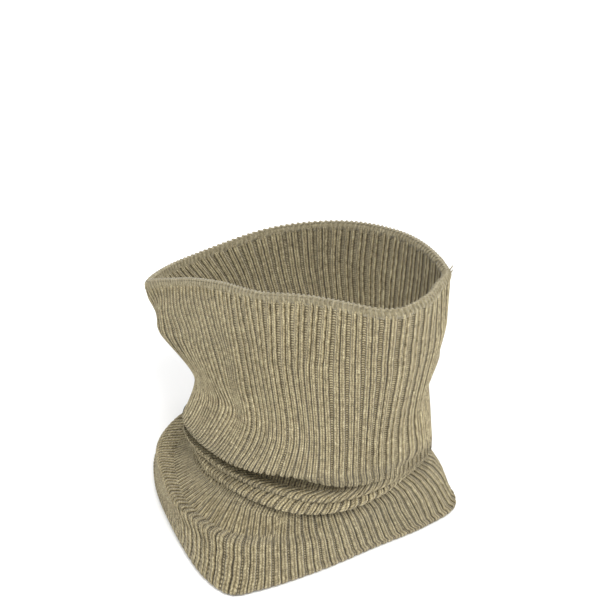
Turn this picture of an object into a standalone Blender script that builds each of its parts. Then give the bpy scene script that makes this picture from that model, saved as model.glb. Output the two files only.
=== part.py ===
"""A doubled rib-knit neck gaiter, standing open as worn: face tube, bunched neck and flared skirt.

The knit tube is doubled on itself. Its outer and inner layers meet at the bottom in a soft fold
and at the top in a linked edge. The neck is bunched into two tiers. Metres, +Z up, face towards -Y.
"""

import math

import bpy
from mathutils import Vector

MM = 0.001
COLUMNS = 48  # columns of faces round every loft
KNIT = 2.0 * MM  # thickness of one knit layer
GAP = 0.3 * MM  # clearance between touching pieces
LAYER = KNIT + GAP  # pitch from one layer to the next
FOLD_PITCH = LAYER + 2 * GAP  # pitch of the slanted layers inside the neck's folds
TURN_INSET = FOLD_PITCH  # the strip turned back under the upper lip
ROLL_INSET = 2 * FOLD_PITCH  # the roll's hidden top, inside the turned-back strip
NECK_INSET = 3 * FOLD_PITCH  # the neck's lining, inside both
BAND_HEIGHT = 4.0 * MM  # the linked edge
THREAD_RADIUS = 0.5 * MM
FOLD_HEIGHT = 6.0 * MM  # the soft fold that the gaiter stands on
TUCK = 0.8  # how far the turned-back fabric reaches from the upper lip towards the throat
ROLL_CREST = 0.5  # how far up the roll's fullest line is, from the lower lip to the upper one
SKIRT_TUCK = 0.35  # how far the skirt's top reaches up inside the roll, on the same scale
NECK_END = 0.8  # where the neck's lining starts, from the shoulder to the lower lip
SKIRT_LINING_END = 0.75  # where the skirt's lining stops, on the same scale
BAND_ROUNDING = 0.6 * MM  # the linked edge's rounded shoulders
FOLD_ROUNDING = 0.8 * MM  # the bottom fold's rounded edges
TAIL_LEANS = (-0.5, 0.5)  # how far each loose end leans sideways
TAIL_RADIUS = 0.4 * MM  # the loose ends of the linking thread
TAIL_LENGTH = 8.0 * MM

# Sections of the outer surface in millimetres, each a closed smooth curve through (x, y, z).
# Each starts at the front and goes round towards +X.
TOP_EDGE = [
    (6, -71, 159), (19, -69, 157), (34, -63, 154), (47, -53, 150), (63, -41, 145),
    (77, -8, 138), (83, 30, 128), (74, 70, 117), (45, 98, 109), (0, 106, 105),
    (-27, 103, 105), (-45, 94, 107), (-39, 80, 116), (-34, 62, 125), (-31, 38, 133),
    (-28, 8, 141), (-18, -20, 149), (-11, -46, 156), (-3, -65, 159),
]
CHEEK = [
    (4, -70, 122), (30, -64, 120), (60, -43, 116), (75, -8, 110), (78, 32, 102),
    (66, 70, 94), (38, 90, 88), (2, 94, 85), (-28, 88, 86), (-51, 68, 94),
    (-52, 36, 104), (-46, 3, 113), (-32, -32, 119), (-13, -59, 122),
]
JAW = [
    (2, -67, 80), (30, -59, 79), (54, -38, 75), (66, -5, 72), (65, 30, 68),
    (49, 58, 65), (18, 68, 63), (-14, 64, 65), (-37, 48, 72), (-51, 35, 79),
    (-59, 2, 82), (-53, -32, 83), (-29, -57, 82),
]
THROAT = [
    (0, -69, 62), (28, -63, 59), (52, -41, 53), (64, -8, 47), (63, 28, 42),
    (47, 55, 40), (16, 68, 40), (-20, 64, 43), (-43, 52, 48), (-57, 38, 53),
    (-64, 6, 57), (-57, -29, 60), (-33, -57, 62),
]
UPPER_LIP = [
    (3, -65, 48), (24, -62, 46), (41, -56, 44), (54, -39, 39), (64, -10, 34),
    (62, 28, 32), (46, 54, 32), (14, 66, 34), (-20, 63, 38), (-46, 50, 45),
    (-57, 30, 50), (-53, -3, 50), (-40, -32, 50), (-21, -57, 49),
]
LOWER_LIP = [
    (0, -63, 36), (24, -57, 36), (48, -46, 34), (60, -20, 30), (62, 10, 27),
    (52, 44, 25), (20, 61, 26), (-18, 61, 30), (-46, 44, 35), (-61, 14, 36),
    (-60, -14, 36), (-46, -46, 36), (-24, -61, 36),
]
SHOULDER = [
    (4, -61, 18), (30, -62, 18), (56, -50, 17), (66, -26, 15), (68, 6, 14),
    (62, 42, 14), (42, 70, 15), (8, 84, 16), (-26, 83, 17), (-56, 66, 19),
    (-76, 32, 22), (-84, 0, 22), (-76, -36, 20), (-58, -50, 19), (-28, -60, 18),
]
RIM = [
    (0, -63, 0), (33, -65, 0), (57, -61, 0), (66, -40, 0), (69, 0, 0),
    (66, 40, 0), (51, 75, 0), (15, 91, 0), (-24, 91, 0), (-49, 80, 0),
    (-67, 56, 0), (-80, 22, 0), (-91, -30, 0), (-87, -49, 0), (-72, -55, 0),
    (-37, -61, 0),
]
ALL_SECTIONS = (TOP_EDGE, CHEEK, JAW, THROAT, UPPER_LIP, LOWER_LIP, SHOULDER, RIM)

KNIT_COLOUR = (0.33, 0.28, 0.18, 1.0)
LINING_COLOUR = (0.30, 0.255, 0.165, 1.0)
THREAD_COLOUR = (0.44, 0.38, 0.26, 1.0)


def clear_scene():
    for old in list(bpy.data.objects):
        bpy.data.objects.remove(old, do_unlink=True)


def new_collection(name):
    collection = bpy.data.collections.new(name)
    bpy.context.scene.collection.children.link(collection)
    return collection


def make_material(name, colour, roughness):
    material = bpy.data.materials.new(name)
    material.use_nodes = True
    shader = material.node_tree.nodes["Principled BSDF"]
    shader.inputs["Base Color"].default_value = colour
    shader.inputs["Roughness"].default_value = roughness
    shader.inputs["Metallic"].default_value = 0.0
    return material


def box_centre(sections):
    """The plan centre of the box round every section, which becomes the origin."""
    points = [point for section in sections for point in section]
    low = [min(point[axis] for point in points) for axis in range(2)]
    high = [max(point[axis] for point in points) for axis in range(2)]
    return (low[0] + high[0]) / 2, (low[1] + high[1]) / 2


CENTRE = box_centre(ALL_SECTIONS)
CURVE_STEPS = 24  # points on the curve between two points of a section


def smooth_loop(section):
    """A closed Catmull-Rom curve through a section's points, in metres about the origin."""
    corners = []
    for x, y, z in section:
        corners.append(Vector(((x - CENTRE[0]) * MM, (y - CENTRE[1]) * MM, z * MM)))
    count = len(corners)
    spans = [math.sqrt((corners[(i + 1) % count] - corners[i]).length) for i in range(count)]
    slopes = []
    for i in range(count):
        before, after = spans[i - 1], spans[i]
        into = (corners[i] - corners[i - 1]) / before
        out = (corners[(i + 1) % count] - corners[i]) / after
        slopes.append((into * after + out * before) / (before + after))
    loop = []
    for i in range(count):
        here, there = corners[i], corners[(i + 1) % count]
        leave, arrive = slopes[i] * spans[i], slopes[(i + 1) % count] * spans[i]
        for step in range(CURVE_STEPS):
            t = step / CURVE_STEPS
            loop.append(
                here * (2 * t**3 - 3 * t**2 + 1)
                + leave * (t**3 - 2 * t**2 + t)
                + there * (3 * t**2 - 2 * t**3)
                + arrive * (t**3 - t**2)
            )
    return loop


def spread_evenly(loop, count):
    """count points spread evenly along a closed loop, from its first point."""
    lengths = [(loop[(i + 1) % len(loop)] - loop[i]).length for i in range(len(loop))]
    pitch = sum(lengths) / count
    points, travelled, i = [], 0.0, 0
    for k in range(count):
        while travelled + lengths[i] < k * pitch:
            travelled += lengths[i]
            i += 1
        share = (k * pitch - travelled) / lengths[i]
        points.append(loop[i].lerp(loop[(i + 1) % len(loop)], share))
    return points


def ring(section, inset=0.0, rise=0.0, count=COLUMNS):
    """A section's loop moved inwards by inset in plan, and up by rise."""
    points = spread_evenly(smooth_loop(section), count)
    moved = []
    for i, point in enumerate(points):
        along = points[(i + 1) % count] - points[i - 1]
        inward = Vector((-along.y, along.x, 0.0)).normalized()
        moved.append(point + inward * inset + Vector((0.0, 0.0, rise)))
    return moved


def between(lower, upper, share):
    """The ring part of the way from one ring to another."""
    return [a.lerp(b, share) for a, b in zip(lower, upper)]


def loft_shell(name, profile, material, collection):
    """A closed ring-shaped solid through a closed cycle of rings: up the outside, down the inside.

    Every wall is cut along the same diagonals, so that layers nest without touching.
    """
    vertices = [tuple(point) for points in profile for point in points]
    faces = []
    for row in range(len(profile)):
        above = (row + 1) % len(profile)
        for i in range(COLUMNS):
            j = (i + 1) % COLUMNS
            low, low_next = row * COLUMNS + i, row * COLUMNS + j
            high, high_next = above * COLUMNS + i, above * COLUMNS + j
            if row < len(profile) // 2:
                faces += [(low, low_next, high_next), (low, high_next, high)]
            else:
                faces += [(low, low_next, high), (low_next, high_next, high)]
    mesh = bpy.data.meshes.new(name)
    mesh.from_pydata(vertices, [], faces)
    mesh.materials.append(material)
    mesh.shade_smooth()
    made = bpy.data.objects.new(name, mesh)
    collection.objects.link(made)
    return made


def knit_wall(name, steps, material, collection):
    """A knit layer: steps run from bottom to top as (ring maker, inset of its outer face)."""
    outside = [maker(inset) for maker, inset in steps]
    inside = [maker(inset + KNIT) for maker, inset in reversed(steps)]
    return loft_shell(name, outside + inside, material, collection)


def at(section, rise=0.0):
    """A maker of a section's ring at any inset."""
    return lambda inset: ring(section, inset, rise)


def part_way(lower, upper, share, lower_inset=0.0, upper_inset=0.0):
    """A maker of a ring between two sections, which may each be inset further."""

    def maker(inset):
        return between(ring(lower, inset + lower_inset), ring(upper, inset + upper_inset), share)

    return maker


def thread_curve(name, points, radius, cyclic, material, collection):
    """A round thread along a run of points."""
    curve = bpy.data.curves.new(name, "CURVE")
    curve.dimensions = "3D"
    curve.bevel_depth = radius
    curve.bevel_resolution = 1
    curve.use_fill_caps = not cyclic
    spline = curve.splines.new("POLY")
    spline.points.add(len(points) - 1)
    for place, point in zip(spline.points, points):
        place.co = (point.x, point.y, point.z, 1.0)
    spline.use_cyclic_u = cyclic
    curve.materials.append(material)
    made = bpy.data.objects.new(name, curve)
    collection.objects.link(made)
    return made


def build_face_tube(parts, knit, lining):
    """The part that covers the face: both layers, from the linked edge to the upper tier's lip."""
    below_band = -BAND_HEIGHT - GAP
    knit_wall(
        "outer_face_tube",
        [
            (at(UPPER_LIP), 0.0), (at(THROAT), 0.0), (at(JAW), 0.0),
            (at(CHEEK), 0.0), (at(TOP_EDGE, below_band), 0.0),
        ],
        knit, parts,
    )
    knit_wall(
        "inner_face_lining",
        [
            (at(THROAT, GAP), LAYER), (at(JAW), LAYER),
            (at(CHEEK), LAYER), (at(TOP_EDGE, below_band), LAYER),
        ],
        lining, parts,
    )


def build_linked_edge(parts, thread):
    """The linked band that joins both layers, the chain on its crest and its two loose ends."""
    across = LAYER + KNIT
    shoulder = BAND_ROUNDING
    band = [
        ring(TOP_EDGE, 0.0, -BAND_HEIGHT),
        ring(TOP_EDGE, 0.0, -2 * shoulder),
        ring(TOP_EDGE, shoulder, 0.0),
        ring(TOP_EDGE, across - shoulder, 0.0),
        ring(TOP_EDGE, across, -2 * shoulder),
        ring(TOP_EDGE, across, -BAND_HEIGHT),
    ]
    loft_shell("top_linking_band", band, thread, parts)
    crest = ring(TOP_EDGE, across / 2, 2 * GAP + THREAD_RADIUS)
    thread_curve("linking_thread", crest, THREAD_RADIUS, True, thread, parts)

    corner = 4  # the section's point at the cheek corner, where the linking ends
    x, y, z = TOP_EDGE[corner]
    start = Vector(((x - CENTRE[0]) * MM, (y - CENTRE[1]) * MM, z * MM))
    outward = Vector((start.x, start.y, 0.0)).normalized()
    clear = outward * (TAIL_RADIUS + 2 * GAP)
    for number, lean in enumerate(TAIL_LEANS, 1):
        sideways = Vector((-outward.y, outward.x, 0.0)) * lean
        base = start + clear + sideways * TAIL_LENGTH / 2
        points = []
        for step in range(5):
            t = step / 4
            rise = Vector((0.0, 0.0, TAIL_LENGTH * t))
            points.append(base + rise + (sideways + outward) * TAIL_LENGTH * t * t / 3)
        thread_curve(f"loose_thread_end_{number}", points, TAIL_RADIUS, False, thread, parts)


def build_neck(parts, knit, lining):
    """The bunched neck: the turned-back strip, the roll below it and the lining behind both."""
    knit_wall(
        "upper_fold_turnback",
        [(at(UPPER_LIP), TURN_INSET), (part_way(UPPER_LIP, THROAT, TUCK), TURN_INSET)],
        knit, parts,
    )
    crest_inset = 1.0 * MM
    knit_wall(
        "neck_roll",
        [
            (at(LOWER_LIP), 0.0),
            (part_way(LOWER_LIP, UPPER_LIP, ROLL_CREST), crest_inset),
            (at(UPPER_LIP, -2 * GAP), ROLL_INSET),
            (part_way(UPPER_LIP, THROAT, TUCK), ROLL_INSET),
        ],
        knit, parts,
    )
    knit_wall(
        "inner_neck_lining",
        [
            (part_way(SHOULDER, LOWER_LIP, NECK_END, LAYER, NECK_INSET), 0.0),
            (at(LOWER_LIP), NECK_INSET), (at(UPPER_LIP), NECK_INSET),
            (part_way(UPPER_LIP, THROAT, TUCK), NECK_INSET),
        ],
        lining, parts,
    )


def build_skirt(parts, knit, lining):
    """The flared skirt: both layers, and the soft fold that joins them at the rim."""
    tuck_inset = 3.4 * MM
    knit_wall(
        "outer_skirt",
        [
            (at(RIM, FOLD_HEIGHT), 0.0), (at(SHOULDER), 0.0),
            (at(LOWER_LIP, -GAP), LAYER),
            (part_way(LOWER_LIP, UPPER_LIP, SKIRT_TUCK), tuck_inset),
        ],
        knit, parts,
    )
    knit_wall(
        "inner_skirt_lining",
        [
            (at(RIM, FOLD_HEIGHT), LAYER), (at(SHOULDER), LAYER),
            (part_way(SHOULDER, LOWER_LIP, SKIRT_LINING_END, LAYER, NECK_INSET), 0.0),
        ],
        lining, parts,
    )
    across = LAYER + KNIT
    edge = FOLD_ROUNDING
    fold = [
        ring(RIM, edge, 0.0),
        ring(RIM, 0.0, edge),
        ring(RIM, 0.0, FOLD_HEIGHT - GAP),
        ring(RIM, across, FOLD_HEIGHT - GAP),
        ring(RIM, across, edge),
        ring(RIM, across - edge, 0.0),
    ]
    loft_shell("bottom_fold", fold, knit, parts)


def main():
    clear_scene()
    parts = new_collection("neck_gaiter")
    knit = make_material("rib_knit", KNIT_COLOUR, 0.9)
    lining = make_material("rib_knit_lining", LINING_COLOUR, 0.92)
    thread = make_material("linking_yarn", THREAD_COLOUR, 0.85)
    build_face_tube(parts, knit, lining)
    build_linked_edge(parts, thread)
    build_neck(parts, knit, lining)
    build_skirt(parts, knit, lining)


main()
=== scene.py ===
import math

import bpy
import numpy as np
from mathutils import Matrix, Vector


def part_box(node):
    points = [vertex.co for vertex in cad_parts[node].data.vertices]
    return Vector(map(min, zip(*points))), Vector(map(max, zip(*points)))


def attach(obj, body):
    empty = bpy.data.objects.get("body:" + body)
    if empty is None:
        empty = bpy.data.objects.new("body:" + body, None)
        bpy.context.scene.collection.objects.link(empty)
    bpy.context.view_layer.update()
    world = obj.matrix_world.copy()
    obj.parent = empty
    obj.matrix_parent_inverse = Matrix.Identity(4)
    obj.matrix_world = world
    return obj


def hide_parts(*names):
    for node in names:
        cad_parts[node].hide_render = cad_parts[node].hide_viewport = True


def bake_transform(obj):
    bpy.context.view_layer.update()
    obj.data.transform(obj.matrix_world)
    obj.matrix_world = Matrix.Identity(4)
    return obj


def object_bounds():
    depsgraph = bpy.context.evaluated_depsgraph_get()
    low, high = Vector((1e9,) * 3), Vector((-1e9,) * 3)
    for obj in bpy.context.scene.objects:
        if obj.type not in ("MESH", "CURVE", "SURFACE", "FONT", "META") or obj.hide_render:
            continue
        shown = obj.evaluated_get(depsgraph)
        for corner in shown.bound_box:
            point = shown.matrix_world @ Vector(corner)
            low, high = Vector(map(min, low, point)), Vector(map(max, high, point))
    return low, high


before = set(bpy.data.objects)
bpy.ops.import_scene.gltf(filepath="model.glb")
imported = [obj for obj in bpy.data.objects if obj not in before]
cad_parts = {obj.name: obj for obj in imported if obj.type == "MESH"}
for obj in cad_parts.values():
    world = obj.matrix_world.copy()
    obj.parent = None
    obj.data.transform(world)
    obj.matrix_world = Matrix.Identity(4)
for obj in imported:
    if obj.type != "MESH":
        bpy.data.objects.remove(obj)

CAD_LOW, CAD_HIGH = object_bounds()

# ---------------------------------------------------------------- sizes, in metres
MM = 0.001
RIBS = 60  # ribs round the tube
PER_RIB = 12  # columns of faces for each rib
COLUMNS = RIBS * PER_RIB
COURSE = 1.35 * MM  # height of one row of stitches
ROWS = 3  # rows of faces for each row of stitches
RELIEF = 1.35 * MM  # how far the wales stand over the purl stitches
LAYER = 2.6 * MM  # thickness of one knit layer
BAND = 4.0 * MM  # height of the linked edge
EDGE_LAYER = 1.7 * MM  # thickness of a layer where the linking presses it
WALES_RELAXED = 0.47  # width of one knit wale's pair of legs, in ribs, where the ribs are relaxed
WALES_OPEN = 0.36  # and where they are pulled open
GROOVE = 0.09  # half width of the shadow between a wale's two legs, in ribs
BORDER = 0.055  # half width of the shadow beside a wale, in ribs
CORE_HEIGHT = 0.55  # the part of a rib's relief that lies below the smooth surface
ROLL_RELIEF = 0.8  # share of the relief left on the neck roll and on the lining
BACK_PITCH = 4.0 * MM  # pitch of the rows on the plain back of a layer
LINING_INSET = 12.8 * MM  # the lining's inner face inside the two lips
LINING_BACK = 11.6 * MM  # and its outer face

# Sections of the outer surface in millimetres: each is a closed smooth curve that starts at the
# front and goes round towards +X. They are the CAD's, apart from the top edge's left side.
TOP_EDGE = [
    (6, -71, 159), (19, -69, 157), (34, -63, 154), (47, -53, 150), (63, -41, 145),
    (77, -8, 138), (83, 30, 128), (74, 70, 117), (45, 98, 109), (0, 106, 105),
    (-27, 103, 106), (-44, 93, 109), (-39, 80, 114), (-34, 62, 122), (-31, 38, 131),
    (-28, 8, 140), (-18, -20, 149), (-11, -46, 156), (-3, -65, 159),
]
CHEEK = [
    (4, -70, 122), (30, -64, 120), (60, -43, 116), (75, -8, 110), (78, 32, 102),
    (66, 70, 94), (38, 90, 88), (2, 94, 85), (-28, 88, 86), (-51, 68, 94),
    (-52, 36, 104), (-46, 3, 113), (-32, -32, 119), (-13, -59, 122),
]
JAW = [
    (2, -67, 80), (30, -59, 79), (54, -38, 75), (66, -5, 72), (65, 30, 68),
    (49, 58, 65), (18, 68, 63), (-14, 64, 65), (-37, 48, 72), (-51, 35, 79),
    (-59, 2, 82), (-53, -32, 83), (-29, -57, 82),
]
THROAT = [
    (0, -69, 62), (28, -63, 59), (52, -41, 53), (64, -8, 47), (63, 28, 42),
    (47, 55, 40), (16, 68, 40), (-20, 64, 43), (-43, 52, 48), (-57, 38, 53),
    (-64, 6, 57), (-57, -29, 60), (-33, -57, 62),
]
UPPER_LIP = [
    (3, -65, 48), (24, -62, 46), (41, -56, 44), (54, -39, 39), (64, -10, 34),
    (62, 28, 32), (46, 54, 32), (14, 66, 34), (-20, 63, 38), (-46, 50, 45),
    (-57, 30, 50), (-53, -3, 50), (-40, -32, 50), (-21, -57, 49),
]
LOWER_LIP = [
    (0, -63, 36), (24, -57, 36), (48, -46, 34), (60, -20, 30), (62, 10, 27),
    (52, 44, 25), (20, 61, 26), (-18, 61, 30), (-46, 44, 35), (-61, 14, 36),
    (-60, -14, 36), (-46, -46, 36), (-24, -61, 36),
]
SHOULDER = [
    (4, -61, 18), (30, -62, 18), (56, -50, 17), (66, -26, 15), (68, 6, 14),
    (62, 42, 14), (42, 70, 15), (8, 84, 16), (-26, 83, 17), (-56, 66, 19),
    (-76, 32, 22), (-84, 0, 22), (-76, -36, 20), (-58, -50, 19), (-28, -60, 18),
]
RIM = [
    (0, -63, 0), (33, -65, 0), (57, -61, 0), (66, -40, 0), (69, 0, 0), (66, 40, 0),
    (51, 75, 0), (15, 91, 0), (-24, 91, 0), (-49, 80, 0), (-67, 56, 0), (-80, 22, 0),
    (-91, -30, 0), (-87, -49, 0), (-72, -55, 0), (-37, -61, 0),
]
SECTIONS = [TOP_EDGE, CHEEK, JAW, THROAT, UPPER_LIP, LOWER_LIP, SHOULDER, RIM]
ALL_POINTS = np.array([p for section in SECTIONS for p in section], float) * MM
PLAN_CENTRE = (ALL_POINTS.min(0) + ALL_POINTS.max(0)) / 2
CAD_CENTRE = (np.array(CAD_LOW) + np.array(CAD_HIGH)) / 2
SHIFT = np.array([CAD_CENTRE[0] - PLAN_CENTRE[0], CAD_CENTRE[1] - PLAN_CENTRE[1], CAD_LOW[2]])

# Where the ribs crowd together: section -> (place round the loop, width, how much closer)
CROWDING = {
    id(TOP_EDGE): [(0.66, 0.09, 0.9)],
    id(CHEEK): [(0.63, 0.14, 0.6)],
    id(JAW): [(0.69, 0.10, 0.6)],
    id(THROAT): [(0.69, 0.10, 0.6)],
    id(UPPER_LIP): [(0.69, 0.10, 0.5)],
    id(LOWER_LIP): [(0.66, 0.11, 0.7)],
    id(SHOULDER): [(0.68, 0.11, 0.7)],
    id(RIM): [(0.68, 0.11, 0.9)],
}


# ---------------------------------------------------------------- smooth loops and rings
def dense_loop(section):
    """A closed smooth curve through the section's points, in the part's frame."""
    p = np.array(section, float) * MM + SHIFT
    count = len(p)
    span = np.linalg.norm(np.roll(p, -1, 0) - p, axis=1) ** 0.5
    before, after, span_before = np.roll(p, 1, 0), np.roll(p, -1, 0), np.roll(span, 1)
    tangent = (
        (p - before) / span_before[:, None] * span[:, None]
        + (after - p) / span[:, None] * span_before[:, None]
    ) / (span + span_before)[:, None]
    k = np.repeat(np.arange(count), 48)
    s = np.tile(np.arange(48) / 48, count)[:, None]
    a, b = p[k], p[(k + 1) % count]
    ta = tangent[k] * span[k][:, None]
    tb = tangent[(k + 1) % count] * span[k][:, None]
    return (
        (2 * s**3 - 3 * s**2 + 1) * a + (s**3 - 2 * s**2 + s) * ta
        + (-2 * s**3 + 3 * s**2) * b + (s**3 - s**2) * tb
    )


def ring(section, inset=0.0, rise=0.0, slide=0.0, count=COLUMNS):
    """Points round a section, one for each column: inset inwards, raised, and slid round in ribs."""
    loop = dense_loop(section)
    step = np.linalg.norm(np.roll(loop, -1, 0) - loop, axis=1)
    place = (np.cumsum(step) - step / 2) / step.sum()
    for centre, width, closer in CROWDING.get(id(section), []):
        away = (place - centre + 0.5) % 1 - 0.5
        step = step * (1 + closer * np.exp(-((away / width) ** 2)))
    travelled = np.r_[0, np.cumsum(step)]
    total = travelled[-1]
    along = (np.roll(loop, -1, 0) - np.roll(loop, 1, 0))[:, :2]
    along /= np.linalg.norm(along, axis=1)[:, None]
    inward = np.stack([-along[:, 1], along[:, 0]], 1)
    closed = np.vstack([loop, loop[:1]])
    inward = np.vstack([inward, inward[:1]])
    where = ((np.arange(count) / count + np.broadcast_to(slide, count) / RIBS) % 1.0) * total
    points = np.stack([np.interp(where, travelled, closed[:, i]) for i in range(3)], 1)
    push = np.stack([np.interp(where, travelled, inward[:, i]) for i in range(2)], 1)
    push /= np.linalg.norm(push, axis=1)[:, None]
    inset = np.broadcast_to(inset, count)
    points[:, :2] += push * inset[:, None]
    points[:, 2] += rise
    return points


def mix(a, b, share):
    share = np.broadcast_to(share, len(a))[:, None]
    return a * (1 - share) + b * share


def down_the_ribs(rings, spacing):
    """Rows of points that run smoothly through a list of rings, about evenly spaced."""
    rings = np.array(rings)
    front = np.r_[0 : COLUMNS // 8, -COLUMNS // 4 : 0]
    gaps = np.linalg.norm(np.diff(rings[:, front], axis=0), axis=2).mean(1)
    knots = np.r_[0, np.cumsum(np.maximum(gaps, 0.2 * MM) ** 0.6)]
    slope = np.zeros_like(rings)
    h = np.diff(knots)[:, None, None]
    chord = np.diff(rings, axis=0) / h
    slope[1:-1] = (chord[:-1] * h[1:] + chord[1:] * h[:-1]) / (h[1:] + h[:-1])
    slope[0], slope[-1] = chord[0], chord[-1]
    rows = []
    for k in range(len(rings) - 1):
        for s in np.arange(40) / 40:
            rows.append(
                (2 * s**3 - 3 * s**2 + 1) * rings[k] + (s**3 - 2 * s**2 + s) * slope[k] * h[k]
                + (-2 * s**3 + 3 * s**2) * rings[k + 1] + (s**3 - s**2) * slope[k + 1] * h[k]
            )
    rows.append(rings[-1])
    rows = np.array(rows)
    step = np.linalg.norm(np.diff(rows[:, front], axis=0), axis=2).mean(1)
    travelled = np.r_[0, np.cumsum(step)]
    count = max(3, int(round(travelled[-1] / spacing)) + 1)
    want = np.linspace(0, travelled[-1], count)
    low = np.clip(np.searchsorted(travelled, want, side="right") - 1, 0, len(rows) - 2)
    share = ((want - travelled[low]) / (travelled[low + 1] - travelled[low]))[:, None, None]
    return rows[low] * (1 - share) + rows[low + 1] * share, want


def grid_normals(grid):
    """Outward normals of a grid whose rows run down and whose columns run round towards +X."""
    across = np.roll(grid, -1, 1) - np.roll(grid, 1, 1)
    down = np.gradient(grid, axis=0)
    normal = np.cross(down, across)
    length = np.linalg.norm(normal, axis=2, keepdims=True)
    return normal / np.maximum(length, 1e-12)


# ---------------------------------------------------------------- knit relief
def smoothstep(x, low, high):
    t = np.clip((x - low) / (high - low), 0, 1)
    return t * t * (3 - 2 * t)


def soften(field, rounds):
    """A field over the grid, smoothed; its columns join up round the tube."""
    for _ in range(rounds):
        field = (np.roll(field, 1, 1) + 2 * field + np.roll(field, -1, 1)) / 4
        field[1:-1] = (field[:-2] + 2 * field[1:-1] + field[2:]) / 4
    return field


def openness(grid, most=1.0):
    """How far the ribs are pulled open, from 0 where they are relaxed to 1 where they are wide."""
    pitch = np.linalg.norm(np.roll(grid, -1, 1) - np.roll(grid, 1, 1), axis=2) / 2 * PER_RIB
    return soften(most * smoothstep(pitch, 5.8 * MM, 8.8 * MM), 12)


def rib_height(column, course, pulled):
    """Height of the knit over its purl ground, as a share of the relief."""
    p = (column / PER_RIB) % 1.0
    away = np.abs(p - 0.5)
    half = (WALES_RELAXED + (WALES_OPEN - WALES_RELAXED) * pulled) / 2
    off = np.clip(np.abs(away - half) / half, 0, 1)
    wale = np.sqrt(np.maximum(1 - off**2, 0))
    stitch = np.cos(2 * np.pi * (course - 0.8 * off))
    leg = np.sin(np.pi * off)
    bar = np.cos(2 * np.pi * (course + 0.5)) * smoothstep(away, 2 * half, 2 * half + 0.06)
    return wale + 0.10 * leg * stitch * wale + 0.16 * bar


def knit_relief(grid, courses, pulled, side=1.0, relief=RELIEF):
    """The grid with ribs and stitches raised on it."""
    columns = np.arange(grid.shape[1])[None, :]
    height = rib_height(columns, courses[:, None], pulled)
    return grid + grid_normals(grid) * (side * relief * (height - CORE_HEIGHT))[:, :, None]


# ---------------------------------------------------------------- meshes
def grid_mesh(name, rows, uv_rows, material, pulled=None, closed=True):
    """A mesh round the tube from a stack of rows; closed joins the last row to the first."""
    stack = np.array(rows)
    count, columns = stack.shape[:2]
    mesh = bpy.data.meshes.new(name)
    last = count if closed else count - 1
    i = np.arange(last)[:, None]
    j = np.arange(columns)[None, :]
    i2, j2 = (i + 1) % count, (j + 1) % columns
    faces = np.stack(
        np.broadcast_arrays(i * columns + j, i2 * columns + j, i2 * columns + j2, i * columns + j2),
        -1,
    ).reshape(-1, 4)
    mesh.vertices.add(count * columns)
    mesh.vertices.foreach_set("co", stack.reshape(-1).astype(np.float32))
    mesh.loops.add(len(faces) * 4)
    mesh.loops.foreach_set("vertex_index", faces.reshape(-1).astype(np.int32))
    mesh.polygons.add(len(faces))
    mesh.polygons.foreach_set("loop_start", np.arange(len(faces), dtype=np.int32) * 4)
    mesh.update(calc_edges=True)
    u = np.stack(np.broadcast_arrays(j, j, j + 1, j + 1), -1) / PER_RIB
    u = np.broadcast_to(u, (last, columns, 4))
    v_here = np.asarray(uv_rows)[:last]
    v_next = np.asarray(uv_rows)[(np.arange(last) + 1) % count]
    v = np.stack([v_here, v_next, v_next, v_here], -1)[:, None, :]
    v = np.broadcast_to(v, (last, columns, 4))
    layer = mesh.uv_layers.new(name="knit")
    layer.data.foreach_set("uv", np.stack([u, v], -1).reshape(-1).astype(np.float32))
    if pulled is not None:
        spread = mesh.attributes.new("pulled_open", "FLOAT", "POINT")
        spread.data.foreach_set("value", pulled.reshape(-1).astype(np.float32))
    mesh.polygons.foreach_set("use_smooth", np.ones(len(faces), bool))
    mesh.materials.append(material)
    mesh.validate()
    made = bpy.data.objects.new(name, mesh)
    bpy.context.scene.collection.objects.link(made)
    return made


def shell(name, shown, hidden_rings, material, first_course=0.0, most_open=1.0, reshape=None,
          flatten=None):
    """A closed knit layer: the shown face carries the ribs and the hidden rings close it behind.
    reshape moves the smooth grid, and flatten gives the share of the relief that is left."""
    grid, travelled = down_the_ribs(shown, COURSE / ROWS)
    if reshape is not None:
        grid = reshape(grid, travelled)
    courses = first_course + travelled / COURSE
    pulled = openness(grid, most_open)
    relief = RELIEF * (1.0 if flatten is None else flatten(grid, travelled))
    ribbed = knit_relief(grid, courses, pulled, 1.0, relief)
    back, back_travelled = down_the_ribs(hidden_rings, BACK_PITCH)
    rows = np.vstack([ribbed, back])
    uv_rows = np.r_[courses, courses[-1] + 1 + back_travelled / COURSE]
    return grid_mesh(name, rows, uv_rows, material, np.vstack([pulled, np.zeros(back.shape[:2])]))


# ---------------------------------------------------------------- materials
def node_tree(name):
    material = bpy.data.materials.new(name)
    material.use_nodes = True
    nodes, links = material.node_tree.nodes, material.node_tree.links
    return material, nodes, links, nodes["Principled BSDF"]


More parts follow.
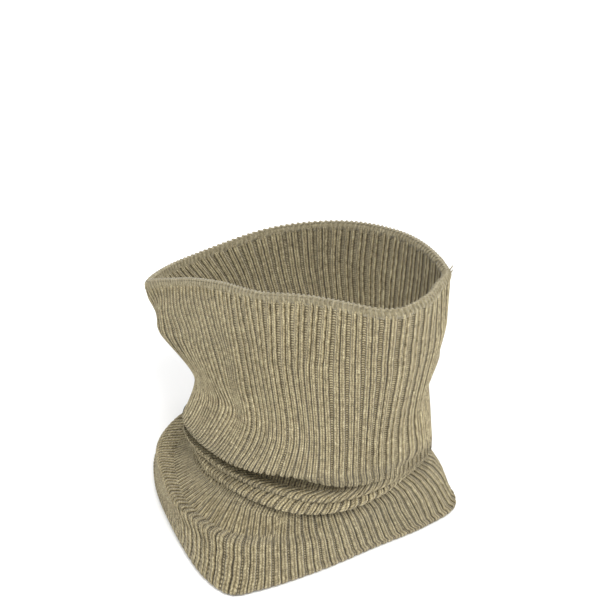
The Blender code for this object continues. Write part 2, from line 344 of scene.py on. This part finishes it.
class Maths:
    """Short calls for a material's math nodes."""

    def __init__(self, nodes, links):
        self.nodes = nodes
        self.links = links

    def op(self, kind, *values, clamp=False):
        node = self.nodes.new("ShaderNodeMath")
        node.operation = kind
        node.use_clamp = clamp
        for socket, value in zip(node.inputs, values):
            if isinstance(value, (int, float)):
                socket.default_value = value
            else:
                self.links.new(value, socket)
        return node.outputs[0]

    def noise(self, vector, scale, detail=2.0, roughness=0.5):
        node = self.nodes.new("ShaderNodeTexNoise")
        node.inputs["Scale"].default_value = scale
        node.inputs["Detail"].default_value = detail
        node.inputs["Roughness"].default_value = roughness
        self.links.new(vector, node.inputs["Vector"])
        return node.outputs["Fac"]

    def ramp(self, value, stops):
        node = self.nodes.new("ShaderNodeValToRGB")
        ramp = node.color_ramp
        while len(ramp.elements) < len(stops):
            ramp.elements.new(0.5)
        for element, (place, colour) in zip(ramp.elements, stops):
            element.position = place
            element.color = (*colour, 1.0)
        self.links.new(value, node.inputs[0])
        return node.outputs[0]

    def mix(self, kind, fac, a, b):
        node = self.nodes.new("ShaderNodeMix")
        node.data_type = "RGBA"
        node.blend_type = kind
        for socket, value in ((node.inputs[0], fac), (node.inputs[6], a), (node.inputs[7], b)):
            if isinstance(value, (int, float)):
                socket.default_value = value
            elif isinstance(value, tuple):
                socket.default_value = (*value, 1.0)
            else:
                self.links.new(value, socket)
        return node.outputs[2]


def knit_material(name, tone=1.0):
    """Heather rib knit: V-leg wales, purl bars, flecked fibres and a soft bloom, with painted shade in the
    grooves and the purl ground and a painted highlight on the wale tops.
    """
    material, nodes, links, shader = node_tree(name)
    m = Maths(nodes, links)
    place = nodes.new("ShaderNodeUVMap")
    place.uv_map = "knit"
    parts = nodes.new("ShaderNodeSeparateXYZ")
    links.new(place.outputs[0], parts.inputs[0])
    u, v = parts.outputs[0], parts.outputs[1]
    coords = nodes.new("ShaderNodeTexCoord")
    here = coords.outputs["Object"]

    wobble = m.noise(here, 260.0, 2.0)
    wobble = m.op("MULTIPLY", m.op("SUBTRACT", wobble, 0.5), 0.10)
    p = m.op("FRACT", m.op("ADD", u, wobble))
    away = m.op("ABSOLUTE", m.op("SUBTRACT", p, 0.5))
    spread = nodes.new("ShaderNodeAttribute")
    spread.attribute_name = "pulled_open"
    pulled = spread.outputs["Fac"]
    wales = m.op("ADD", m.op("MULTIPLY", pulled, WALES_OPEN - WALES_RELAXED), WALES_RELAXED)
    half = m.op("MULTIPLY", wales, 0.5)
    across = m.op("DIVIDE", m.op("ABSOLUTE", m.op("SUBTRACT", away, half)), half)
    across = m.op("MINIMUM", across, 1.0)
    leg = m.op("SINE", m.op("MULTIPLY", across, math.pi))
    course = m.op("ADD", v, m.op("MULTIPLY", wobble, 1.5))
    slant = m.op("SUBTRACT", course, m.op("MULTIPLY", across, 0.8))
    stitch = m.op("COSINE", m.op("MULTIPLY", slant, 2 * math.pi))
    stitch = m.op("ADD", m.op("MULTIPLY", stitch, 0.5), 0.5)
    wale = m.op("MULTIPLY", leg, m.op("ADD", m.op("MULTIPLY", stitch, 0.45), 0.55))
    purl_zone = m.op("SUBTRACT", away, wales)
    purl_zone = m.op("DIVIDE", purl_zone, 0.05, clamp=True)
    bar_phase = m.op("ADD", course, m.op("MULTIPLY", away, 1.0))
    bar = m.op("COSINE", m.op("MULTIPLY", bar_phase, 2 * math.pi))
    bar = m.op("ADD", m.op("MULTIPLY", bar, 0.5), 0.5)
    purl = m.op("MULTIPLY", purl_zone, m.op("MULTIPLY", bar, 0.8))
    height = m.op("MAXIMUM", wale, purl)

    fibre_place = nodes.new("ShaderNodeCombineXYZ")
    links.new(m.op("MULTIPLY", u, 8.0), fibre_place.inputs[0])
    links.new(slant, fibre_place.inputs[1])
    fibre = m.noise(fibre_place.outputs[0], 3.0, 3.0, 0.65)
    fleck = m.noise(here, 1900.0, 2.0, 0.7)
    blotch = m.noise(here, 420.0, 3.0, 0.6)
    cloud = m.noise(here, 55.0, 3.0, 0.55)

    base = m.ramp(
        m.op("ADD", m.op("MULTIPLY", fleck, 0.55), m.op("MULTIPLY", blotch, 0.45)),
        [
            (0.36, (0.10 * tone, 0.08 * tone, 0.04 * tone)),
            (0.46, (0.265 * tone, 0.222 * tone, 0.129 * tone)),
            (0.55, (0.385 * tone, 0.332 * tone, 0.202 * tone)),
            (0.66, (0.64 * tone, 0.575 * tone, 0.385 * tone)),
        ],
    )
    cloudy = m.ramp(cloud, [(0.3, (0.88, 0.87, 0.85)), (0.7, (1.08, 1.08, 1.08))])
    base = m.mix("MULTIPLY", 1.0, base, cloudy)
    # painted shade and highlight: the colour darkens where the knit lies low, in the purl ground, and
    # brightens on the wale tops
    depth = m.op("ADD", m.op("MULTIPLY", height, 0.62), 0.42, clamp=True)
    shade = m.ramp(
        depth, [(0.4, (0.22, 0.195, 0.145)), (0.75, (0.86, 0.85, 0.82)), (1.0, (1.2, 1.2, 1.18))]
    )
    base = m.mix("MULTIPLY", 1.0, base, shade)
    # painted shadow between a wale's two legs
    groove = m.op("DIVIDE", away, GROOVE, clamp=True)
    groove_shade = m.ramp(
        groove, [(0.0, (0.07, 0.06, 0.04)), (0.45, (0.44, 0.41, 0.35)), (1.0, (1.0, 1.0, 1.0))]
    )
    base = m.mix("MULTIPLY", 1.0, base, groove_shade)
    # painted shadow beside each wale
    border = m.op("DIVIDE", m.op("ABSOLUTE", m.op("SUBTRACT", away, wales)), BORDER, clamp=True)
    border_shade = m.ramp(border, [(0.0, (0.34, 0.31, 0.25)), (1.0, (1.0, 1.0, 1.0))])
    base = m.mix("MULTIPLY", 1.0, base, border_shade)
    links.new(base, shader.inputs["Base Color"])

    rough = m.op("ADD", m.op("MULTIPLY", fleck, 0.2), 0.78)
    links.new(rough, shader.inputs["Roughness"])
    shader.inputs["Specular IOR Level"].default_value = 0.2
    shader.inputs["Sheen Weight"].default_value = 0.35
    shader.inputs["Sheen Roughness"].default_value = 0.55
    shader.inputs["Sheen Tint"].default_value = (0.95, 0.88, 0.70, 1.0)

    relief = m.op("ADD", height, m.op("MULTIPLY", fibre, 0.35))
    relief = m.op("ADD", relief, m.op("MULTIPLY", fleck, 0.35))
    bump = nodes.new("ShaderNodeBump")
    bump.inputs["Strength"].default_value = 0.9
    bump.inputs["Distance"].default_value = 1.0 * MM
    links.new(relief, bump.inputs["Height"])
    links.new(bump.outputs[0], shader.inputs["Normal"])
    return material


def yarn_material(name, tone=1.0):
    """The linking yarn: paler, twisted plies with flecks."""
    material, nodes, links, shader = node_tree(name)
    m = Maths(nodes, links)
    coords = nodes.new("ShaderNodeTexCoord")
    here = coords.outputs["Object"]
    fleck = m.noise(here, 2300.0, 2.0, 0.7)
    blotch = m.noise(here, 500.0, 2.0, 0.6)
    base = m.ramp(
        m.op("ADD", m.op("MULTIPLY", fleck, 0.5), m.op("MULTIPLY", blotch, 0.5)),
        [
            (0.32, (0.24 * tone, 0.20 * tone, 0.115 * tone)),
            (0.5, (0.40 * tone, 0.345 * tone, 0.21 * tone)),
            (0.68, (0.60 * tone, 0.54 * tone, 0.36 * tone)),
        ],
    )
    links.new(base, shader.inputs["Base Color"])
    shader.inputs["Roughness"].default_value = 0.85
    shader.inputs["Specular IOR Level"].default_value = 0.2
    shader.inputs["Sheen Weight"].default_value = 0.3
    shader.inputs["Sheen Roughness"].default_value = 0.5
    bump = nodes.new("ShaderNodeBump")
    bump.inputs["Strength"].default_value = 0.6
    bump.inputs["Distance"].default_value = 0.2 * MM
    links.new(fleck, bump.inputs["Height"])
    links.new(bump.outputs[0], shader.inputs["Normal"])
    return material


# ---------------------------------------------------------------- how deep the folds are, round the tube
AROUND = np.arange(COLUMNS) / COLUMNS  # 0 at the front, towards +X
SIGNED = (AROUND + 0.5) % 1 - 0.5


def round_profile(places):
    """A smooth value round the tube through (place in ribs from the front, value)."""
    ribs, values = zip(*sorted(places))
    x = np.array(ribs, float)
    y = np.array(values, float)
    x = np.r_[x - RIBS, x, x + RIBS]
    y = np.tile(y, 3)
    at = SIGNED * RIBS
    k = np.clip(np.searchsorted(x, at, side="right") - 1, 0, len(x) - 2)
    t = (at - x[k]) / (x[k + 1] - x[k])
    t = t * t * (3 - 2 * t)
    return y[k] * (1 - t) + y[k + 1] * t


def wander(seed, size):
    """Slow sideways wandering of the ribs, in ribs."""
    rng = np.random.default_rng(seed)
    waves = sum(
        rng.normal() * np.cos(2 * np.pi * (k * AROUND + rng.random())) / k**0.5 for k in range(3, 14)
    )
    return size * waves / np.abs(waves).max()


UPPER_DEPTH = round_profile([
    (-28, 0.9), (-20, 1.0), (-7, 1.05), (-4, 0.8), (-2, 0.35), (0.5, 0.06), (9, 0.04), (14, 0.2),
    (22, 0.7),
])
LOWER_DEPTH = round_profile([
    (-28, 0.3), (-20, 0.12), (-15, 0.25), (-11.5, 0.9), (-6, 1.0), (-2, 0.7), (2, 0.3), (9, 0.15),
    (16, 0.4),
])
ROLL_VALLEY = round_profile([
    (-28, 0.5), (-18, 1.0), (-8, 0.8), (-4, 0.6), (-1, 0.7), (2, 0.1), (8, 0.0), (20, 0.3),
])
ROLL_FULL = round_profile([(-27, 0.2), (-21, 1.0), (-9, 1.0), (-4, 0.7), (0, 0.1), (10, 0.0)])
SKIRT_HOLLOW = round_profile([
    (-30, 0.3), (-20, 0.8), (-13, 1.0), (-9, 0.7), (-3, 0.15), (6, 0.0), (20, 0.2),
])
SKIRT_CREASE = round_profile([
    (-27, 0.0), (-21, 0.35), (-16, 0.95), (-12, 1.0), (-9, 0.4), (-6, 0.0), (20, 0.0),
])
ROLL_SLIDE = round_profile([
    (-24, -0.6), (-14, -1.6), (-9, -2.6), (-3, -1.6), (1, 0.0), (5, 0.6), (14, 0.0),
])
CHEEK_SLIDE = round_profile([
    (-28, 1.8), (-20, 4.2), (-16, 3.7), (-12, 2.2), (-8, 1.0), (-4, 0.3), (0, 0.0), (4, 0.0), (18, 0.0),
])
JAW_SLIDE = round_profile([
    (-28, 1.2), (-20, 3.6), (-16, 3.3), (-12, 2.0), (-8, 0.7), (-4, 0.1), (0, 0.0), (18, 0.0),
])
SHOULDER_SLIDE = round_profile([
    (-30, -0.6), (-20, -1.2), (-16, -0.9), (-12.5, 0.2), (-10, 1.0), (-7, 0.8), (-3, 0.6), (3, -0.2),
    (8, -0.3), (20, 0.0),
])
FLANK_BOW = round_profile([(-30, 0.2), (-20, 0.7), (-15, 0.6), (-11, 0.1), (-7, 0.0), (16, 0.0)])
RIM_SLIDE = round_profile([
    (-30, -0.3), (-20, -0.6), (-16, 0.0), (-12.5, 1.2), (-10, 1.7), (-7, 1.7), (-3, 1.7), (1, 1.0),
    (4, 0.2), (8, -0.3), (20, 0.0),
])

knit = knit_material("rib_knit_heather", 1.04)
# painted shade: the skirt's copy of the knit is darker, standing in for dimmer light on the skirt
skirt_knit = knit_material("rib_knit_heather_skirt_painted_shade", 0.91)
inner_knit = knit_material("rib_knit_heather_inside", 0.94)
yarn = yarn_material("linking_yarn_heather", 0.56)
edge_core = yarn_material("linking_yarn_shadowed", 0.5)

# ---------------------------------------------------------------- the face tube
UP = UPPER_DEPTH
LO = LOWER_DEPTH
TIP_FULLNESS = round_profile([(-30, 0.0), (-25, 1.0), (-19, 1.0), (-14, 0.0), (12, 0.0)])
CHEEK_ROOM = 1.8 * MM * round_profile([
    (-24, 0.0), (-19, 1.0), (-10, 1.0), (-5, 0.3), (0, 0.0), (20, 0.0),
])
FACE_DENTS = [
    # (place in ribs, height up the tube 0..1, width in ribs, height of it, depth)
    (6.3, 0.40, 1.6, 0.055, 2.4 * MM),
    (7.6, 0.53, 1.2, 0.045, -1.5 * MM),
    (-15.5, 0.42, 3.0, 0.07, 3.0 * MM),
    (-13.5, 0.58, 3.0, 0.07, -1.4 * MM),
    (-12.0, 0.22, 3.2, 0.06, -1.0 * MM),
    (-3.0, 0.12, 4.5, 0.05, -0.8 * MM),
    (3.0, 0.10, 3.0, 0.05, 0.7 * MM),
]


def dent_face(grid, travelled):
    """Soft dents and tension folds in the face tube."""
    up = 1 - travelled / travelled[-1]
    normal = grid_normals(grid)
    for rib, high, wide, tall, deep in FACE_DENTS:
        away = (SIGNED * RIBS - rib + RIBS / 2) % RIBS - RIBS / 2
        amount = deep * np.exp(-((away[None, :] / wide) ** 2) - ((up[:, None] - high) / tall) ** 2)
        grid = grid - normal * amount[:, :, None]
    return grid


def soft_lip(grid, travelled):
    """The ribs flatten where the fabric folds under at the bottom."""
    from_lip = np.abs(travelled[-1] - 11.0 * MM - travelled)[:, None]
    return 0.5 + 0.5 * smoothstep(from_lip, 0.0, 7.0 * MM) * np.ones(grid.shape[:2])


def slid(loop, slide):
    """The same loop with the ribs moved along it, in ribs."""
    at = (np.arange(COLUMNS) + slide * PER_RIB) % COLUMNS
    low = at.astype(int)
    share = (at - low)[:, None]
    return loop[low] * (1 - share) + loop[(low + 1) % COLUMNS] * share


def over_the_cheek(share):
    """The tube between its edge and the cheek, standing out a little at the left corner."""
    near = mix(ring(TOP_EDGE, 0.0, -BAND), ring(CHEEK), share)
    far = mix(ring(TOP_EDGE, -6.0 * MM, -BAND), ring(CHEEK, -6.0 * MM), share)
    return slid(mix(near, far, 1.8 * share * (1.1 - share) * TIP_FULLNESS), CHEEK_SLIDE * share)


face_tube = shell(
    "face_tube_knit",
    [
        ring(TOP_EDGE, 0.0, -0.5 * BAND),
        over_the_cheek(0.12),
        over_the_cheek(0.32),
        over_the_cheek(0.55),
        over_the_cheek(0.8),
        ring(CHEEK, -1.4 * MM * TIP_FULLNESS, 0.0, CHEEK_SLIDE + wander(1, 0.10)),
        ring(JAW, 0.0, 0.0, JAW_SLIDE + wander(2, 0.22)),
        ring(THROAT, -0.6 * MM, 0.0, 0.45 * JAW_SLIDE + wander(3, 0.22)),
        ring(UPPER_LIP, -1.4 * MM * UP, 4.0 * MM),
        ring(UPPER_LIP, 1.2 * MM * UP, 0.0),
        ring(UPPER_LIP, 3.6 * MM * UP + 0.2 * MM, 0.3 * MM),
        ring(UPPER_LIP, 5.0 * MM * UP + 0.3 * MM, 3.0 * MM),
        ring(UPPER_LIP, 5.2 * MM * UP + 0.5 * MM, 7.5 * MM),
    ],
    [
        ring(UPPER_LIP, 5.6 * MM * UP + 0.9 * MM, 9.0 * MM),
        ring(THROAT, 5.0 * MM + CHEEK_ROOM, 0.0),
        ring(JAW, LAYER + CHEEK_ROOM),
        ring(CHEEK, LAYER + CHEEK_ROOM),
        ring(TOP_EDGE, EDGE_LAYER, -0.5 * BAND),
    ],
    knit,
    reshape=dent_face,
    flatten=soft_lip,
)
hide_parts("outer_face_tube")
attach(face_tube, "face_tube")

# ---------------------------------------------------------------- the neck roll
def soft_roll(grid, travelled):
    return np.full(grid.shape[:2], ROLL_RELIEF)


def between_lips(share, inset, rise):
    return mix(
        ring(LOWER_LIP, inset, rise, ROLL_SLIDE), ring(UPPER_LIP, inset, rise, 0.25 * ROLL_SLIDE), share
    )


neck_roll = shell(
    "neck_roll_knit",
    [
        ring(UPPER_LIP, 5.9 * MM * UP + 1.3 * MM, 4.0 * MM),
        ring(UPPER_LIP, 6.5 * MM * UP + 1.0 * MM, 1.0 * MM),
        ring(UPPER_LIP, 6.2 * MM * UP + 0.6 * MM, -3.0 * MM * UP - 0.2 * MM),
        ring(UPPER_LIP, 4.6 * MM * UP + 0.3 * MM, -5.8 * MM * UP - 0.5 * MM),
        between_lips(0.68, -0.7 * MM * UP - 2.8 * MM * ROLL_FULL, -1.0 * MM * UP + 0.8 * MM * ROLL_FULL),
        between_lips(0.50, 0.2 * MM + 1.4 * MM * ROLL_VALLEY - 2.4 * MM * ROLL_FULL, -1.2 * MM * UP),
        between_lips(0.38, 0.4 * MM + 2.6 * MM * ROLL_VALLEY, -0.4 * MM * UP),
        between_lips(0.16, -0.6 * MM, 0.7 * MM),
        ring(LOWER_LIP, 1.4 * MM * LO, -0.6 * MM, ROLL_SLIDE),
        ring(LOWER_LIP, 3.8 * MM * LO + 0.4 * MM, 0.2 * MM, ROLL_SLIDE),
        ring(LOWER_LIP, 5.0 * MM * LO + 0.6 * MM, 4.0 * MM, ROLL_SLIDE),
    ],
    [
        ring(LOWER_LIP, 5.6 * MM * LO + 1.6 * MM, 5.0 * MM),
        ring(UPPER_LIP, 7.2 * MM * UP + 2.6 * MM, 0.0),
        ring(UPPER_LIP, 6.3 * MM * UP + 2.2 * MM, 4.0 * MM),
    ],
    knit,
    first_course=90.0,
    most_open=0.25,
    flatten=soft_roll,
)
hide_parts("neck_roll", "upper_fold_turnback")

# ---------------------------------------------------------------- the skirt
def soft_rim(grid, travelled):
    """The ribs lie flat in the soft fold at the bottom."""
    high = grid[:, :, 2] - CAD_LOW[2]
    return 0.25 + 0.45 * smoothstep(high, 1.0 * MM, 5.5 * MM) + 0.30 * smoothstep(high, 4.0 * MM, 13.0 * MM)


def flank(share, rise):
    made = mix(
        ring(SHOULDER, 0.0, 0.0, SHOULDER_SLIDE + FLANK_BOW),
        ring(RIM, 0.0, 0.0, RIM_SLIDE + FLANK_BOW), share,
    )
    made[:, 2] += rise * SKIRT_CREASE
    return made


hollow = mix(ring(LOWER_LIP, 2.0 * MM * LO), ring(SHOULDER, 0.0, 0.0, SHOULDER_SLIDE), 0.42)
hollow[:, 2] -= 9.0 * MM * SKIRT_HOLLOW
shoulder = ring(SHOULDER, 0.0, 0.0, SHOULDER_SLIDE)
shoulder[:, 2] += 3.6 * MM * SKIRT_HOLLOW
skirt = shell(
    "skirt_knit",
    [
        ring(LOWER_LIP, 6.6 * MM * LO + 1.8 * MM, 5.0 * MM),
        ring(LOWER_LIP, 5.8 * MM * LO + 1.4 * MM, -1.5 * MM),
        hollow,
        shoulder,
        flank(0.34, 5.4 * MM),
        flank(0.56, 7.4 * MM),
        flank(0.70, 4.4 * MM),
        ring(RIM, 0.0, 3.0 * MM, RIM_SLIDE),
        ring(RIM, 0.7 * MM, 0.8 * MM, RIM_SLIDE),
        ring(RIM, 2.4 * MM, 0.5 * MM, RIM_SLIDE),
        ring(RIM, 4.0 * MM, 3.4 * MM, RIM_SLIDE),
        ring(SHOULDER, 4.8 * MM, 0.0, SHOULDER_SLIDE),
    ],
    [
        mix(ring(SHOULDER, 5.0 * MM), ring(LOWER_LIP, 10.5 * MM), 0.6),
        ring(LOWER_LIP, 9.6 * MM, 1.0 * MM),
        ring(LOWER_LIP, 9.0 * MM, 5.0 * MM),
    ],
    skirt_knit,
    first_course=120.0,
    most_open=0.4,
    flatten=soft_rim,
)
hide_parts("outer_skirt", "bottom_fold")
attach(skirt, "skirt")

# ---------------------------------------------------------------- the lining
lining_rings = [
    ring(TOP_EDGE, 2 * EDGE_LAYER, -0.5 * BAND),
    ring(CHEEK, 2 * LAYER + CHEEK_ROOM),
    ring(JAW, 2 * LAYER + 1.0 * MM + CHEEK_ROOM),
    ring(THROAT, 9.0 * MM + CHEEK_ROOM),
    ring(UPPER_LIP, LINING_INSET),
    ring(LOWER_LIP, LINING_INSET),
    mix(ring(LOWER_LIP, LINING_INSET), ring(SHOULDER, 9.0 * MM), 0.5),
]
lining_back = [
    mix(ring(LOWER_LIP, 11.4 * MM), ring(SHOULDER, 7.0 * MM), 0.5),
    ring(LOWER_LIP, LINING_BACK),
    ring(UPPER_LIP, LINING_BACK),
    ring(THROAT, 7.4 * MM + CHEEK_ROOM),
    ring(JAW, LAYER + 1.6 * MM + CHEEK_ROOM),
    ring(CHEEK, LAYER + 0.8 * MM + CHEEK_ROOM),
    ring(TOP_EDGE, EDGE_LAYER + 0.1 * MM, -0.5 * BAND),
]


def lining_shell(name):
    """The inner layer: its ribs face inwards, so its rows run from the bottom up."""
    grid, travelled = down_the_ribs(lining_rings, COURSE / 2)
    courses = travelled / COURSE
    pulled = openness(grid, 0.8)
    ribbed = knit_relief(grid, courses, pulled, -1.0, ROLL_RELIEF * RELIEF)
    back, back_travelled = down_the_ribs(lining_back, BACK_PITCH)
    rows = np.vstack([ribbed, back])[::-1]
    uv_rows = np.r_[courses, courses[-1] + 1 + back_travelled / COURSE][::-1]
    spread = np.vstack([pulled, np.zeros(back.shape[:2])])[::-1]
    return grid_mesh(name, rows, uv_rows, inner_knit, spread)


lining = lining_shell("inner_lining_knit")
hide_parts("inner_face_lining", "inner_neck_lining", "inner_skirt_lining")

# ---------------------------------------------------------------- the linked edge
def tube_mesh(name, runs, material, sides=6):
    """Round yarns along runs of (points, radii, closed)."""
    vertices, faces = [], []
    for points, radii, closed in runs:
        points = np.asarray(points, float)
        count = len(points)
        radii = np.broadcast_to(radii, count)
        if closed:
            tangent = np.roll(points, -1, 0) - np.roll(points, 1, 0)
        else:
            tangent = np.gradient(points, axis=0)
        tangent /= np.linalg.norm(tangent, axis=1)[:, None]
        normal = np.cross(tangent[0], [0.0, 0.0, 1.0])
        if np.linalg.norm(normal) < 0.1:
            normal = np.cross(tangent[0], [1.0, 0.0, 0.0])
        frames = []
        for t in tangent:
            normal = normal - t * normal.dot(t)
            normal = normal / np.linalg.norm(normal)
            frames.append((normal, np.cross(t, normal)))
        start = len(vertices)
        angles = np.arange(sides) * 2 * np.pi / sides
        for point, radius, (n, b) in zip(points, radii, frames):
            for angle in angles:
                vertices.append(point + (n * math.cos(angle) + b * math.sin(angle)) * radius)
        for i in range(count if closed else count - 1):
            i2 = (i + 1) % count
            for j in range(sides):
                j2 = (j + 1) % sides
                faces.append(
                    (start + i * sides + j, start + i * sides + j2,
                     start + i2 * sides + j2, start + i2 * sides + j)
                )
        if not closed:
            faces.append(tuple(start + j for j in reversed(range(sides))))
            faces.append(tuple(start + (count - 1) * sides + j for j in range(sides)))
    mesh = bpy.data.meshes.new(name)
    mesh.from_pydata([tuple(v) for v in vertices], [], faces)
    mesh.polygons.foreach_set("use_smooth", np.ones(len(mesh.polygons), bool))
    mesh.materials.append(material)
    mesh.update()
    made = bpy.data.objects.new(name, mesh)
    bpy.context.scene.collection.objects.link(made)
    return made


LOOPS = 172  # linking stitches round the edge
STEPS = 18  # points on each stitch
half_width = EDGE_LAYER


def edge_frame(count):
    """Points on the crest of the edge with the outward and upward directions there."""
    outer = ring(TOP_EDGE, 0.0, 0.0, count=count)
    inner = ring(TOP_EDGE, 2 * half_width, 0.0, count=count)
    centre = (outer + inner) / 2
    outward = (outer - inner) / np.linalg.norm(outer - inner, axis=1)[:, None]
    return centre, outward


total = LOOPS * STEPS
centre, outward = edge_frame(total)
along = np.roll(centre, -1, 0) - np.roll(centre, 1, 0)
along /= np.linalg.norm(along, axis=1)[:, None]
upward = np.cross(along, outward)
upward *= np.sign(upward[:, 2:3])
turn = np.arange(total) / STEPS * 2 * np.pi
rng = np.random.default_rng(7)
loop_size = np.repeat(1 + 0.2 * rng.standard_normal(LOOPS), STEPS)
loop_size = np.convolve(np.r_[loop_size[-9:], loop_size, loop_size[:9]], np.ones(19) / 19, "valid")
wrap = (
    centre
    + outward * (np.cos(turn) * (half_width + 0.45 * MM))[:, None]
    + upward * ((np.sin(turn) * 0.55 - 0.57) * BAND * loop_size)[:, None]
    + along * (1.3 * MM * np.cos(turn + 0.6) * loop_size)[:, None]
)
chain = (
    centre
    + outward * (half_width * 0.55 * np.sin(turn))[:, None]
    + upward * ((0.25 + 0.35 * np.abs(np.cos(turn / 2))) * MM)[:, None]
    + along * (0.8 * MM * np.sin(2 * turn))[:, None]
)
core_rings = [
    ring(TOP_EDGE, 0.1 * MM, -BAND), ring(TOP_EDGE, 0.0, -0.5 * BAND),
    ring(TOP_EDGE, 0.6 * MM, -0.12 * BAND), ring(TOP_EDGE, half_width, 0.0),
    ring(TOP_EDGE, 2 * half_width - 0.6 * MM, -0.12 * BAND), ring(TOP_EDGE, 2 * half_width, -0.5 * BAND),
    ring(TOP_EDGE, 2 * half_width - 0.1 * MM, -BAND),
]
core = grid_mesh("linked_edge_core", core_rings[::-1], np.arange(7.0), edge_core)
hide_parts("top_linking_band")
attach(core, "face_tube")
edge = tube_mesh(
    "linked_edge_stitches",
    [(wrap, 0.66 * MM, True), (chain, 0.55 * MM, True)],
    yarn,
)
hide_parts("linking_thread")
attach(edge, "face_tube")

# ---------------------------------------------------------------- the loose ends of the yarn
for number in (1, 2):
    node = f"loose_thread_end_{number}"
    low, high = (np.array(corner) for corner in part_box(node))
    bottom = (low + high) / 2
    bottom[2] = low[2]
    lean = np.array([bottom[0], bottom[1], 0.0])
    lean /= np.linalg.norm(lean)
    bottom = bottom - lean * 2.4 * MM - np.array([0.0, 0.0, 1.0]) * MM
    side = np.array([-lean[1], lean[0], 0.0]) * (1 if number == 1 else -1)
    runs = []
    for strand in range(5):
        t = np.linspace(0, 1, 14)[:, None]
        spread = (strand - 2) * 0.25
        reach = (0.55 - 0.06 * abs(strand - 2)) * (high[2] - low[2])
        path = bottom + np.array([0, 0, 1.0]) * reach * t
        path = path + (lean * 1.6 * MM + side * (0.6 - spread) * 1.2 * MM) * t**2
        path = path + side * (0.18 * MM * np.sin(9 * t + strand))
        radius = (0.45 if strand == 2 else 0.2) * MM * (1 - 0.6 * t[:, 0])
        runs.append((path, radius, False))
    end = tube_mesh(f"loose_end_{number}", runs, yarn, 5)
    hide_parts(node)
    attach(end, "face_tube")

# ---------------------------------------------------------------- fabric that crosses the joint
FOLD_PLANE = np.array([0.12, 0.10, 1.0])
FOLD_PLANE /= np.linalg.norm(FOLD_PLANE)
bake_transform(neck_roll)
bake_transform(lining)

# ---------------------------------------------------------------- floor, light and camera
def area_light(name, place, target, size, power, colour=(1.0, 1.0, 1.0)):
    data = bpy.data.lights.new(name, "AREA")
    data.shape = "SQUARE"
    data.size = size
    data.energy = power
    data.color = colour
    light = bpy.data.objects.new(name, data)
    light.location = place
    light.rotation_euler = (Vector(target) - Vector(place)).to_track_quat("-Z", "Y").to_euler()
    bpy.context.scene.collection.objects.link(light)


FLOOR_REACH = 6.0
FLOOR_CLEARANCE = 0.5 * MM
floor_mesh = bpy.data.meshes.new("floor")
floor_mesh.from_pydata(
    [(x * FLOOR_REACH, y * FLOOR_REACH, 0.0) for x, y in ((-1, -1), (1, -1), (1, 1), (-1, 1))],
    [], [(0, 1, 2, 3)],
)
floor = bpy.data.objects.new("floor", floor_mesh)
floor.location.z = CAD_LOW[2] - FLOOR_CLEARANCE
floor_material, _, _, floor_shader = node_tree("pale_floor")
floor_shader.inputs["Base Color"].default_value = (0.9, 0.9, 0.9, 1.0)
floor_shader.inputs["Roughness"].default_value = 0.9
floor_mesh.materials.append(floor_material)
bpy.context.scene.collection.objects.link(floor)

world = bpy.data.worlds.new("studio")
world.use_nodes = True
world.node_tree.nodes["Background"].inputs[0].default_value = (1.0, 1.0, 1.0, 1.0)
world.node_tree.nodes["Background"].inputs[1].default_value = 0.47
bpy.context.scene.world = world
bpy.context.scene.view_settings.view_transform = "Standard"

middle = Vector((0.0, 0.0, 0.5 * (CAD_LOW[2] + CAD_HIGH[2])))
area_light("key", (-0.35, -1.08, 1.65), middle, 0.8, 33.5, (1.0, 0.985, 0.96))
area_light("fill", (1.3, -0.8, 0.8), middle, 0.7, 12.0)
area_light("front", (-0.9, -1.3, 0.6), middle, 0.8, 7.0)
area_light("left", (-1.3, 0.30, 1.3), middle, 0.9, 13.0)
area_light("rear", (0.6, 1.3, 1.2), middle, 0.9, 10.0)

camera_data = bpy.data.cameras.new("camera")
camera_data.sensor_width = 36.0
camera_data.lens = 145.8
camera = bpy.data.objects.new("camera", camera_data)
azimuth, elevation, distance = math.radians(-36.0), math.radians(34.0), 1.30
aim = Vector((0.0001, -0.0147, 0.130))
away = Vector((
    math.sin(azimuth) * math.cos(elevation),
    -math.cos(azimuth) * math.cos(elevation),
    math.sin(elevation),
))
camera.location = aim + away * distance
camera.rotation_euler = (-away).to_track_quat("-Z", "Y").to_euler()
bpy.context.scene.collection.objects.link(camera)
bpy.context.scene.camera = camera

bpy.context.view_layer.update()
